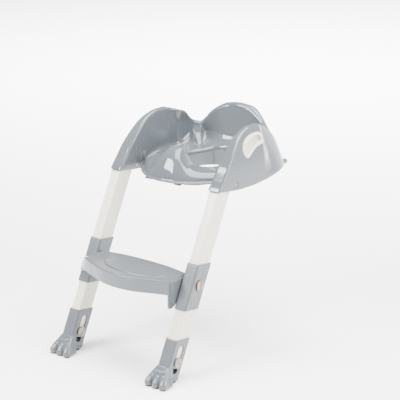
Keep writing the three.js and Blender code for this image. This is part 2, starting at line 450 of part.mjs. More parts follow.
// Bolt: head outside, shank inward. Nut: the mirror head, screwed on from inside.
function boltSolid(side, xHead, xTip, y, z, r, shank, slotAngle) {
  let s = headX(side * xHead, side * (xHead + 5.4), y, z, r);
  s = s.add(rodX(Math.min(side * xTip, side * (xHead + 1)), Math.max(side * xTip, side * (xHead + 1)), y, z, shank));
  const cut = solid(new THREE.BoxGeometry(3.2, 2.4, r * 1.5), new THREE.Matrix4().makeTranslation(side * (xHead + 5.4), y, z).multiply(new THREE.Matrix4().makeRotationX(slotAngle)));
  return s.subtract(cut);
}

// ---------------------------------------------------------------- assembly
const group = new THREE.Group();
group.position.set(0, -Y_CENTRE, 0);
const put = (parent, name, manifold, material) => { const mesh = new THREE.Mesh(geometryOf(manifold), material); mesh.name = name; parent.add(mesh); return mesh; };
group.add(ladder);

put(group, 'seat_shell', seat, look.gloss());
for (const [side, tag] of [[1, 'right'], [-1, 'left']]) {
  const x = side * RAIL_X;
  put(group, `hand_hold_${tag}`, holdInserts[side], look.white());
  // hinge pin: head in the counterbore, shank through the lug into the blind boss
  const pin = rodX(Math.min(side * 136.4, side * 170), Math.max(side * 136.4, side * 170), PIN_Y, PIN_Z, 3.7).add(headX(side * 167.9, side * 169.6, PIN_Y, PIN_Z, 5.9));
  put(group, `hinge_pin_${tag}`, pin, look.metal());
  put(group, `ring_pad_front_${tag}`, box(side * 44 - 11, 209, 417.8, side * 44 + 11, 216, FLANGE_BOTTOM - GAP), look.rubber());
  put(group, `ring_pad_side_${tag}`, box(Math.min(side * 100, side * 132), 363, 417.8, Math.max(side * 100, side * 132), 373, FLANGE_BOTTOM - GAP), look.rubber());
  put(group, `ring_pad_rear_${tag}`, box(side * 60 - 5, 480, 417.8, side * 60 + 5, 508, FLANGE_BOTTOM - GAP), look.rubber());

  put(ladder, `rail_${tag}`, railSolid(x), look.white());
  put(ladder, `hinge_block_${tag}`, hingeBlock(x), look.white());
  put(ladder, `step_collar_${tag}`, collarSolid(x), look.satin());
  const face = RAIL_X + SLEEVE_W / 2 + GAP;
  put(ladder, `step_bolt_${tag}`, boltSolid(side, face, RAIL_X - SLEEVE_W / 2 - 12, STEP_BOLT_D, STEP_BOLT_S, 12.5, 3.9, 0.5), look.metal());
  put(ladder, `foot_clamp_bolt_${tag}`, boltSolid(side, face, RAIL_X - 10, CLAMP_D, CLAMP_S, 12.5, 3.9, 1.1), look.metal());
  // clamp nut: mirror head on the inner side, with a sleeve that the bolt screws into
  {
    const inner = RAIL_X - SLEEVE_W / 2 - GAP;
    let nut = headX(side * inner, side * (inner - 5.4), CLAMP_D, CLAMP_S, 12.5);
    nut = nut.add(rodX(Math.min(side * (inner - 0.5), side * (RAIL_X - 10.4)), Math.max(side * (inner - 0.5), side * (RAIL_X - 10.4)), CLAMP_D, CLAMP_S, 3.9));
    put(ladder, `foot_clamp_nut_${tag}`, nut, look.metal());
  }
  put(group, `foot_${tag}`, footSolid(x), look.satin());
  put(group, `foot_sole_${tag}`, soleSolid(x), look.rubber());
}
// The step, bored for its cross bolts, and the nuts captive inside its ends.
{
  let step = stepSolid();
  const nutAt = new THREE.Vector3(0, STEP_BOLT_D, STEP_BOLT_S).applyMatrix4(ladderMatrix);
  for (const side of [1, -1]) {
    const bx = (a, b) => [Math.min(side * a, side * b), Math.max(side * a, side * b)];
    step = step.add(rodX(...bx(STEP_X - 11, STEP_X), nutAt.y, nutAt.z, 9)).add(box(bx(STEP_X - 11, STEP_X)[0], nutAt.y - 9, nutAt.z, bx(STEP_X - 11, STEP_X)[1], nutAt.y + 9, STEP_Z - 2));
    step = step.subtract(rodX(...bx(STEP_X - 14, STEP_X + 2), nutAt.y, nutAt.z, 4.4)).subtract(rodX(...bx(STEP_X - 18, STEP_X - 11), nutAt.y, nutAt.z, 7.6));
  }
  put(group, 'step_tread', step, look.satin());
  for (const [side, tag] of [[1, 'right'], [-1, 'left']]) {
    const hex = solid(new THREE.CylinderGeometry(7, 7, 5, 6), new THREE.Matrix4().makeTranslation(side * (STEP_X - 11 - GAP - 2.5), nutAt.y, nutAt.z).multiply(new THREE.Matrix4().makeRotationZ(Math.PI / 2)));
    const bore = rodX(Math.min(side * (STEP_X - 30), side * STEP_X), Math.max(side * (STEP_X - 30), side * STEP_X), nutAt.y, nutAt.z, 4.2);
    put(group, `step_nut_${tag}`, hex.subtract(bore), look.metal());
  }
}
export default group;
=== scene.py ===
import math

import bpy
import numpy as np
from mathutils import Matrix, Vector


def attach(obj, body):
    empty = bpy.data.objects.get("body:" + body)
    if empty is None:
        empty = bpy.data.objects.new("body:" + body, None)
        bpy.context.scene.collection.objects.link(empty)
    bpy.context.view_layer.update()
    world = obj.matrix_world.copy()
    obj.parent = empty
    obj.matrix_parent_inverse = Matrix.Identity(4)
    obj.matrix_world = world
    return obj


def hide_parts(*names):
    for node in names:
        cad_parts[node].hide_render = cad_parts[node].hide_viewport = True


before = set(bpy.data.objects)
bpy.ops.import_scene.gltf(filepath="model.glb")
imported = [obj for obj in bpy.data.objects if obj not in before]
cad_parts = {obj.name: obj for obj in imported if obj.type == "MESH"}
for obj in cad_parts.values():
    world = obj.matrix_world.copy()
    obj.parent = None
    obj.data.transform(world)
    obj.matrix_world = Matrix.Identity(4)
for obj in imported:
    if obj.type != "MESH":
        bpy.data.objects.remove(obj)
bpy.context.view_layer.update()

YC = 273.15
LEAN = math.radians(26.7)
SN, CS = math.sin(LEAN), math.cos(LEAN)
RAIL_X, RAIL_W, RAIL_D, RAIL_WALL = 152.0, 28.8, 45.0, 2.2
LADDER_Y0 = 3.0
GAP, SLEEVE_WALL = 0.3, 2.6
SLEEVE_W = RAIL_W + 2 * (GAP + SLEEVE_WALL)
SLEEVE_D = RAIL_D + 2 * (GAP + SLEEVE_WALL)
COLLAR_BOTTOM, COLLAR_TOP, COLLAR_RISE = 184.0, 296.0, 0.31
FOOT_TOP, SLOT_LOW, SLOT_HIGH, SLOT_W = 114.0, 46.0, 97.0, 17.0
CLAMP_S, CLAMP_D, STEP_BOLT_S, STEP_BOLT_D = 64.0, 23.5, 251.0, 22.5
PIN_Y, PIN_Z = 281.0, 425.0
STEP_Z = 235.0
OUT_X, BACK_Y, CORNER_Y, CORNER_N = 170.0, 560.0, 430.0, 2.6
TA, TB, TY, T_BOTTOM = 72.0, 98.0, 372.0, 398.0
FLANGE_TOP, FLANGE_BOTTOM = 424.0, 421.0


# ------------------------------------------------------------------ small tools
def smooth(a, b, x):
    t = np.clip((x - a) / (b - a), 0, 1)
    return t * t * (3 - 2 * t)


def lerp(a, b, t):
    return a + (b - a) * t


class Table:
    """Monotone cubic through a table of (x, y)."""

    def __init__(self, rows):
        r = np.array(rows, float)
        self.x, self.y = r[:, 0], r[:, 1]
        self.h = np.diff(self.x)
        d = np.diff(self.y) / self.h
        n = len(r)
        m = np.zeros(n)
        m[0], m[-1] = d[0], d[-1]
        for i in range(1, n - 1):
            if d[i - 1] * d[i] > 0:
                h0, h1 = self.h[i - 1], self.h[i]
                m[i] = 3 * (h0 + h1) / ((2 * h1 + h0) / d[i - 1] + (h1 + 2 * h0) / d[i])
        self.m = m

    def __call__(self, v):
        v = np.asarray(v, float)
        i = np.clip(np.searchsorted(self.x, v, side="right") - 1, 0, len(self.h) - 1)
        t = np.clip((v - self.x[i]) / self.h[i], 0, 1)
        t2, t3 = t * t, t * t * t
        y = ((2 * t3 - 3 * t2 + 1) * self.y[i] + (t3 - 2 * t2 + t) * self.h[i] * self.m[i]
             + (-2 * t3 + 3 * t2) * self.y[i + 1] + (t3 - t2) * self.h[i] * self.m[i + 1])
        return np.where(v < self.x[0], self.y[0] + (v - self.x[0]) * self.m[0], y)


def inter(a, b, r):
    """Intersection of two distance fields with an edge of radius r."""
    u, v = np.maximum(a + r, 0), np.maximum(b + r, 0)
    return np.minimum(np.maximum(a, b) + r, 0) + np.sqrt(u * u + v * v) - r


def union(a, b, r):
    """Union with a fillet of radius r."""
    u, v = np.maximum(r - a, 0), np.maximum(r - b, 0)
    return np.maximum(np.minimum(a, b) - r, 0) - np.sqrt(u * u + v * v) + r


def rrect(x, y, w, h, r):
    qx, qy = np.abs(x) - w / 2 + r, np.abs(y) - h / 2 + r
    return np.minimum(np.maximum(qx, qy), 0) + np.sqrt(np.maximum(qx, 0) ** 2 + np.maximum(qy, 0) ** 2) - r


def spline(points, per=8):
    """Closed Catmull-Rom curve through points."""
    p = np.array(points, float)
    out = []
    n = len(p)
    for i in range(n):
        a, b, c, d = p[i - 1], p[i], p[(i + 1) % n], p[(i + 2) % n]
        for k in range(per):
            t = k / per
            out.append(0.5 * ((2 * b) + (c - a) * t + (2 * a - 5 * b + 4 * c - d) * t * t + (3 * b - a - 3 * c + d) * t ** 3))
    return np.array(out)


def polygon(x, y, pts, chunk=60000):
    """Signed distance to a closed polygon, negative inside; x and y are flat arrays."""
    a = np.asarray(pts, float)
    b = np.roll(a, -1, 0)
    e = b - a
    l2 = (e ** 2).sum(1) + 1e-12
    out = np.empty(len(x))
    for s in range(0, len(x), chunk):
        px, py = x[s:s + chunk, None], y[s:s + chunk, None]
        wx, wy = px - a[None, :, 0], py - a[None, :, 1]
        t = np.clip((wx * e[:, 0] + wy * e[:, 1]) / l2, 0, 1)
        d2 = (wx - e[:, 0] * t) ** 2 + (wy - e[:, 1] * t) ** 2
        cross = (a[None, :, 1] <= py) != (b[None, :, 1] <= py)
        ey = np.where(np.abs(e[:, 1]) < 1e-9, 1e-9, e[:, 1])
        xi = a[None, :, 0] + wy * (e[:, 0] / ey)
        inside = (cross & (px < xi)).sum(1) % 2 == 1
        d = np.sqrt(d2.min(1))
        out[s:s + chunk] = np.where(inside, -d, d)
    return out


def grid(lo, hi, h):
    h = np.array(h if hasattr(h, "__len__") else [h] * 3, float)
    lo = np.array(lo, float)
    n = [int(math.ceil((hi[i] - lo[i]) / h[i])) + 1 for i in range(3)]
    return lo, h, [lo[i] + h[i] * np.arange(n[i]) for i in range(3)]


def nets(F, lo, h, rounds=2, lam=0.5):
    """Vertices and quads of the surface F = 0, by dual contouring of edge crossings, then light smoothing."""
    F = F.astype(np.float32)
    for ax in range(3):
        for end in (0, -1):
            s = [slice(None)] * 3
            s[ax] = end
            F[tuple(s)] = np.maximum(F[tuple(s)], 1e-3)
    S = F < 0
    nx, ny, nz = F.shape
    some = np.zeros((nx - 1, ny - 1, nz - 1), bool)
    every = np.ones_like(some)
    for i in (0, 1):
        for j in (0, 1):
            for k in (0, 1):
                c = S[i:nx - 1 + i, j:ny - 1 + j, k:nz - 1 + k]
                some |= c
                every &= c
    act = some & ~every
    idx = np.argwhere(act)
    vid = np.full(act.shape, -1, np.int32)
    vid[act] = np.arange(len(idx), dtype=np.int32)
    corners = [(i, j, k) for i in (0, 1) for j in (0, 1) for k in (0, 1)]
    V = {c: F[idx[:, 0] + c[0], idx[:, 1] + c[1], idx[:, 2] + c[2]] for c in corners}
    acc = np.zeros((len(idx), 3))
    cnt = np.zeros(len(idx))
    for c in corners:
        for ax in range(3):
            if c[ax]:
                continue
            e = list(c)
            e[ax] = 1
            a, b = V[c], V[tuple(e)]
            m = (a < 0) != (b < 0)
            t = np.where(m, a / np.where(m, a - b, 1), 0)
            for q in range(3):
                acc[:, q] += np.where(m, c[q] + (t if q == ax else 0), 0)
            cnt += m
    P = lo + (idx + acc / cnt[:, None]) * h
    quads = []
    for ax, (u, v) in ((0, (1, 2)), (1, (2, 0)), (2, (0, 1))):
        sl_a, sl_b = [slice(1, -1)] * 3, [slice(1, -1)] * 3
        sl_a[ax], sl_b[ax] = slice(0, -1), slice(1, None)
        A, B = S[tuple(sl_a)], S[tuple(sl_b)]
        w = np.argwhere(A != B)
        inside = A[w[:, 0], w[:, 1], w[:, 2]]
        q = []
        for du, dv in ((0, 0), (1, 0), (1, 1), (0, 1)):
            o = w.copy()
            o[:, u] += du
            o[:, v] += dv
            q.append(vid[o[:, 0], o[:, 1], o[:, 2]])
        q = np.stack(q, 1)
        q[~inside] = q[~inside][:, ::-1]
        quads.append(q)
    Q = np.concatenate(quads)
    if rounds:
        e0 = np.concatenate([Q[:, i] for i in range(4)] * 2)
        e1 = np.concatenate([Q[:, (i + 1) % 4] for i in range(4)] + [Q[:, (i - 1) % 4] for i in range(4)])
        deg = np.bincount(e0, minlength=len(P)).astype(float)
        for _ in range(rounds):
            for k in (lam, -lam * 1.04):
                avg = np.stack([np.bincount(e0, weights=P[e1, c], minlength=len(P)) for c in range(3)], 1) / deg[:, None]
                P = P + k * (avg - P)
    return P, Q


def settle(P, fn, steps=2, e=0.05):
    """Moves vertices onto fn = 0."""
    for _ in range(steps):
        x, y, z = P[:, 0], P[:, 1], P[:, 2]
        f = fn(x, y, z)
        g = np.stack([fn(x + e, y, z) - fn(x - e, y, z), fn(x, y + e, z) - fn(x, y - e, z), fn(x, y, z + e) - fn(x, y, z - e)], 1) / (2 * e)
        g2 = (g ** 2).sum(1)
        P = P - np.clip(f / np.maximum(g2, 0.05), -0.6, 0.6)[:, None] * g
    return P


def floor_to_row(P):
    return np.stack([P[:, 0], P[:, 1] - YC, P[:, 2]], 1) / 1000.0


def ladder_to_floor(P):
    """x across, d into the rails' depth, s along the rails."""
    return np.stack([P[:, 0], LADDER_Y0 + P[:, 1] * CS + P[:, 2] * SN, -P[:, 1] * SN + P[:, 2] * CS], 1)


def mesh_object(name, P, Q, mat):
    me = bpy.data.meshes.new(name)
    me.vertices.add(len(P))
    me.vertices.foreach_set("co", P.astype(np.float32).ravel())
    me.loops.add(Q.size)
    me.loops.foreach_set("vertex_index", Q.astype(np.int32).ravel())
    me.polygons.add(len(Q))
    me.polygons.foreach_set("loop_start", (np.arange(len(Q)) * Q.shape[1]).astype(np.int32))
    me.polygons.foreach_set("use_smooth", np.ones(len(Q), bool))
    me.update(calc_edges=True)
    me.validate()
    me.materials.append(mat)
    o = bpy.data.objects.new(name, me)
    bpy.context.scene.collection.objects.link(o)
    return o


def piece(name, fn, lo, hi, h, mat, body, nodes, space="floor", rounds=1, steps=2):
    lo, h, (X, Y, Z) = grid(lo, hi, h)
    shape = (len(X), len(Y), len(Z))
    F = fn(np.broadcast_to(X[:, None, None], shape).ravel(), np.broadcast_to(Y[None, :, None], shape).ravel(), np.broadcast_to(Z[None, None, :], shape).ravel()).reshape(shape)
    P, Q = nets(F, lo, h, rounds)
    if steps:
        P = settle(P, fn, steps)
    if space == "ladder":
        P = ladder_to_floor(P)
    o = mesh_object(name, floor_to_row(P), Q, mat)
    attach(o, body)
    for n in nodes:
        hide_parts(n)
    return o


# ------------------------------------------------------------------ materials
def material(name, color, rough, metal=0.0, coat=0.0, coat_rough=0.1, ior=1.5, tint=0.03, blotch=18.0, grain=900.0, grain_h=0.00002, rough_span=0.05, sss=0.0):
    m = bpy.data.materials.new(name)
    m.use_nodes = True
    nt = m.node_tree
    nt.nodes.clear()
    out = nt.nodes.new("ShaderNodeOutputMaterial")
    b = nt.nodes.new("ShaderNodeBsdfPrincipled")
    nt.links.new(b.outputs[0], out.inputs[0])
    tc = nt.nodes.new("ShaderNodeTexCoord")
    n1 = nt.nodes.new("ShaderNodeTexNoise")
    n1.inputs["Scale"].default_value = blotch
    n1.inputs["Detail"].default_value = 4.0
    nt.links.new(tc.outputs["Object"], n1.inputs["Vector"])
    ramp = nt.nodes.new("ShaderNodeValToRGB")
    ramp.color_ramp.elements[0].position = 0.3
    ramp.color_ramp.elements[1].position = 0.7
    ramp.color_ramp.elements[0].color = (*[c * (1 - tint) for c in color], 1)
    ramp.color_ramp.elements[1].color = (*[min(1, c * (1 + tint)) for c in color], 1)
    nt.links.new(n1.outputs["Fac"], ramp.inputs["Fac"])
    nt.links.new(ramp.outputs["Color"], b.inputs["Base Color"])
    n2 = nt.nodes.new("ShaderNodeTexNoise")
    n2.inputs["Scale"].default_value = blotch * 2.7
    n2.inputs["Detail"].default_value = 6.0
    nt.links.new(tc.outputs["Object"], n2.inputs["Vector"])
    mr = nt.nodes.new("ShaderNodeMapRange")
    mr.inputs["From Min"].default_value = 0.3
    mr.inputs["From Max"].default_value = 0.7
    mr.inputs["To Min"].default_value = rough - rough_span / 2
    mr.inputs["To Max"].default_value = rough + rough_span / 2
    nt.links.new(n2.outputs["Fac"], mr.inputs["Value"])
    nt.links.new(mr.outputs["Result"], b.inputs["Roughness"])
    n3 = nt.nodes.new("ShaderNodeTexNoise")
    n3.inputs["Scale"].default_value = grain
    n3.inputs["Detail"].default_value = 3.0
    nt.links.new(tc.outputs["Object"], n3.inputs["Vector"])
    bump = nt.nodes.new("ShaderNodeBump")
    bump.inputs["Strength"].default_value = 0.5
    bump.inputs["Distance"].default_value = grain_h
    nt.links.new(n3.outputs["Fac"], bump.inputs["Height"])
    nt.links.new(bump.outputs["Normal"], b.inputs["Normal"])
    b.inputs["Metallic"].default_value = metal
    b.inputs["IOR"].default_value = ior
    b.inputs["Coat Weight"].default_value = coat
    b.inputs["Coat Roughness"].default_value = coat_rough
    if sss:
        b.inputs["Subsurface Weight"].default_value = sss
        b.inputs["Subsurface Radius"].default_value = (0.004, 0.0035, 0.003)
        b.inputs["Subsurface Scale"].default_value = 1.0
    return m


GLOSS = material("look_seat", (0.072, 0.081, 0.089), 0.08, ior=1.5, tint=0.012, blotch=9, grain=260, grain_h=0.000012, rough_span=0.03)
SATIN = material("look_step", (0.076, 0.084, 0.092), 0.24, ior=1.48, tint=0.015, blotch=12, grain=1500, grain_h=0.00003, rough_span=0.06)
WHITE = material("look_white", (0.58, 0.55, 0.465), 0.24, ior=1.48, tint=0.008, blotch=8, grain=700, grain_h=0.00001, rough_span=0.05, sss=0.15)
RUBBER = material("look_rubber", (0.022, 0.022, 0.023), 0.75, ior=1.45, tint=0.1, blotch=60, grain=2200, grain_h=0.00006, rough_span=0.12)
METAL = material("look_nickel", (0.26, 0.22, 0.175), 0.34, metal=1.0, tint=0.08, blotch=90, grain=1800, grain_h=0.00002, rough_span=0.12)

SIDES = ((1, "right"), (-1, "left"))

# ------------------------------------------------------------------ seat: wall functions
CREST = Table([[190, 372], [200, 396], [211, 421], [228, 443], [241, 460], [252, 475], [264.5, 489], [279, 505], [289, 515], [300, 525], [315, 535], [335, 543.5], [360, 549], [385, 549], [410, 543.5], [430, 536], [440, 523], [450, 509], [462, 499], [474, 495], [483, 506], [491.6, 523], [501.6, 538.5], [510.6, 550], [520, 555]])


def turn(p):
    s = p - CORNER_Y
    wb = smooth(50, 85, s)
    return smooth(-40, 12, s) * (1 - wb), wb


def outer_in(z, p):
    wc, wb = turn(p)
    arm = 20 * np.clip((z - 430) / 122, 0, 1.2) ** 2.2
    corner = 33 * np.clip((z - 421) / 85, 0, 1.4) ** 1.15
    back = 25 * np.clip((z - 421) / 132, 0, 1.1) ** 1.2
    return arm * (1 - wc - wb) + corner * wc + back * wb


def inner_in(z, p):
    wc, wb = turn(p)
    base = 35.8 * (1 - wc - wb) + 46 * wc + (75 - 28 * np.clip((z - 450) / 95, -0.2, 1.0)) * wb
    least = outer_in(z, p) + 14.5
    return base + 0.5 * (least - base + np.sqrt((least - base) ** 2 + 16)) * np.minimum(1, wc + wb + 0.02)


ARC_A = np.radians(np.linspace(0, 90, 901))
ARC = np.stack([OUT_X * np.cos(ARC_A).clip(0) ** (2 / CORNER_N), CORNER_Y + (BACK_Y - CORNER_Y) * np.sin(ARC_A).clip(0) ** (2 / CORNER_N)], 1)


def wall_map(x, y):
    """Station p and distance d in from the outline, for flat arrays with x >= 0."""
    p, d = y.copy(), OUT_X - x
    r = np.where(y > CORNER_Y)[0]
    a, b = ARC[:-1], ARC[1:]
    e = b - a
    l2 = (e ** 2).sum(1)
    for s in range(0, len(r), 20000):
        k = r[s:s + 20000]
        wx, wy = x[k, None] - a[None, :, 0], y[k, None] - a[None, :, 1]
        t = np.clip((wx * e[:, 0] + wy * e[:, 1]) / l2, 0, 1)
        d2 = (wx - e[:, 0] * t) ** 2 + (wy - e[:, 1] * t) ** 2
        i = d2.argmin(1)
        n = np.arange(len(k))
        dist = np.sqrt(d2[n, i])
        out = ((np.abs(x[k]) / OUT_X) ** CORNER_N + ((y[k] - CORNER_Y) / (BACK_Y - CORNER_Y)) ** CORNER_N) > 1
        d[k] = np.where(out, -dist, dist)
        p[k] = CORNER_Y + (i + t[n, i]) * (90 / 900)
    return p, d


FRONT = Table([[0, 199], [30, 202.5], [55, 213], [76, 227], [96, 244], [112, 262], [126, 280]])
OUTLINE = [[x, float(FRONT(x))] for x in np.linspace(0, 126, 43)] + [[135.8, 290]]
for y in range(300, int(CORNER_Y), 12):
    OUTLINE.append([OUT_X - float(inner_in(448.0, np.float64(y))) + 1.5, y])
for pp in range(430, 521, 3):
    i = (pp - 430) * 10
    c, s = max(math.cos(ARC_A[i]), 0), math.sin(ARC_A[i])
    nn = np.array([c ** (2 - 2 / CORNER_N) / OUT_X, s ** (2 - 2 / CORNER_N) / (BACK_Y - CORNER_Y)])
    nn /= np.hypot(*nn)
    dd = float(inner_in(448.0, np.float64(pp))) - 1.5
    OUTLINE.append([max(ARC[i, 0] - nn[0] * dd, 0), ARC[i, 1] - nn[1] * dd])
OUTLINE = np.array(OUTLINE)


def reach_table():
    """Distance Q from the throat's edge to the outline, and that point's y, for each degree."""
    Qs, Ys = [], []
    for deg in range(0, 181):
        u = math.radians(deg)
        e = np.array([TA * math.sin(u), TY - TB * math.cos(u)])
        n = np.array([math.sin(u) / TA, -math.cos(u) / TB])
        n /= np.hypot(*n)
        a, b = OUTLINE[:-1], OUTLINE[1:]
        d = b - a
        det = n[0] * -d[:, 1] + n[1] * d[:, 0]
        det = np.where(np.abs(det) < 1e-9, 1e-9, det)
        s = ((a[:, 0] - e[0]) * -d[:, 1] + (a[:, 1] - e[1]) * d[:, 0]) / det
        k = (n[0] * (a[:, 1] - e[1]) - n[1] * (a[:, 0] - e[0])) / det
        ok = (s > 0) & (k >= -1e-6) & (k <= 1 + 1e-6)
        q = s[ok].min() if ok.any() else (TY - TB - OUTLINE[0, 1] if deg < 90 else OUTLINE[-1, 1] - e[1])
        if deg == 0:
            q = TY - TB - OUTLINE[0, 1]
        if deg == 180:
            q = OUTLINE[-1, 1] - e[1]
        Qs.append(q)
        Ys.append(e[1] + n[1] * q)
    Qs = np.array(Qs)
    pad = np.pad(Qs, 2, mode="reflect")
    Qs = (pad[:-4] + pad[1:-3] * 2 + pad[2:-2] * 3 + pad[3:-1] * 2 + pad[4:]) / 9
    return Qs, np.array(Ys)


QS, YS = reach_table()


def throat_map(x, y):
    """Angle in degrees and distance q out from the throat's edge."""
    u = np.arctan2(x / TA, -(y - TY) / TB)
    for _ in range(12):
        ex, ey = TA * np.sin(u), -TB * np.cos(u)
        tx, ty = TA * np.cos(u), TB * np.sin(u)
        wx, wy = x - ex, (y - TY) - ey
        g = wx * tx + wy * ty
        dg = -(tx * tx + ty * ty) + wx * -ex + wy * -ey
        u = np.clip(u - np.clip(g / np.where(np.abs(dg) < 1e-6, -1e-6, dg), -0.2, 0.2), 0, math.pi)
    ex, ey = TA * np.sin(u), -TB * np.cos(u)
    q = np.hypot(x - ex, (y - TY) - ey)
    inside = (x / TA) ** 2 + ((y - TY) / TB) ** 2 < 1
    return np.degrees(u), np.where(inside, -q, q)


KNOB = Table([[0, 51], [11, 50.5], [17, 47.5], [22, 41.5], [27, 33], [33, 22.5], [39, 13], [49, 5], [62, 1], [72, 0]])
PLATEAU = Table([[0, 444], [60, 443.5], [90, 441], [135, 442], [180, 446]])
RAMP = Table([[425, 0], [430, 2], [436, 7], [442, 15], [448, 25], [453, 37], [458, 46], [474, 47], [478, 35], [483, 25], [490, 22], [500, 21], [510, 19], [520, 17]])


def base_height(deg, q, x, p, d):
    Q = np.interp(deg, np.arange(181), QS)
    ye = np.interp(deg, np.arange(181), YS)
    fl = 1 - smooth(300, 372, ye)
    zf = lerp(443.0, FLANGE_TOP, fl)
    zp = PLATEAU(deg)
    flat = 8 * (1 - smooth(262, 320, ye))
    qf = Q - flat
    t = np.clip((q - 7) / (qf - 7), 0, 1)
    # a rounded shoulder that drops to the flange, and the splash guard standing on it
    sh = np.clip(1 - (np.clip(t - 0.5, 0, 1) / 0.5) ** 2, 0, 1) ** 0.7
    knob = KNOB(np.abs(x) / (1 + 0.5 * t)) * (1 - smooth(62, 85, deg))
    g = 1 - t ** 1.9
    h = zf + (zp - zf) * sh + knob * lerp(0.5 * (1 + np.cos(np.pi * t ** 0.8)), g, 1 - smooth(20, 50, deg))
    dist = d - inner_in(470.0, p)
    return h + RAMP(np.maximum(p, 425)) * np.clip(1 - dist / 54, 0, 1) ** 2


HOLD = spline([[322, 482], [314, 493], [312.5, 504], [317, 516], [330, 525.5], [350, 531.5], [372, 533], [388, 530.5], [397, 523], [399.5, 513], [397, 505], [388, 501.5], [370, 498.5], [353, 491.5], [341, 483.5], [331, 479]])
HOLD_IN = spline([[325.5, 489], [321.5, 497], [321.5, 505], [327, 512.5], [338, 518.5], [354, 523.5], [372, 525.5], [384, 524], [390, 519], [391, 513], [387, 509.5], [370, 506.5], [351, 499.5], [339, 491.5], [331, 487]])
BOTTOM = np.array([[150, 431], [262, 413.2], [300, 409], [350, 407], [400, 409], [440, 414], [482, 421], [640, 421]], float)


def ellipsoid(x, y, z, c, r):
    px, py, pz = (x - c[0]) / r[0], (y - c[1]) / r[1], (z - c[2]) / r[2]
    k0 = np.sqrt(px * px + py * py + pz * pz)
    k1 = np.sqrt((px / r[0]) ** 2 + (py / r[1]) ** 2 + (pz / r[2]) ** 2) + 1e-9
    return k0 * (k0 - 1) / k1


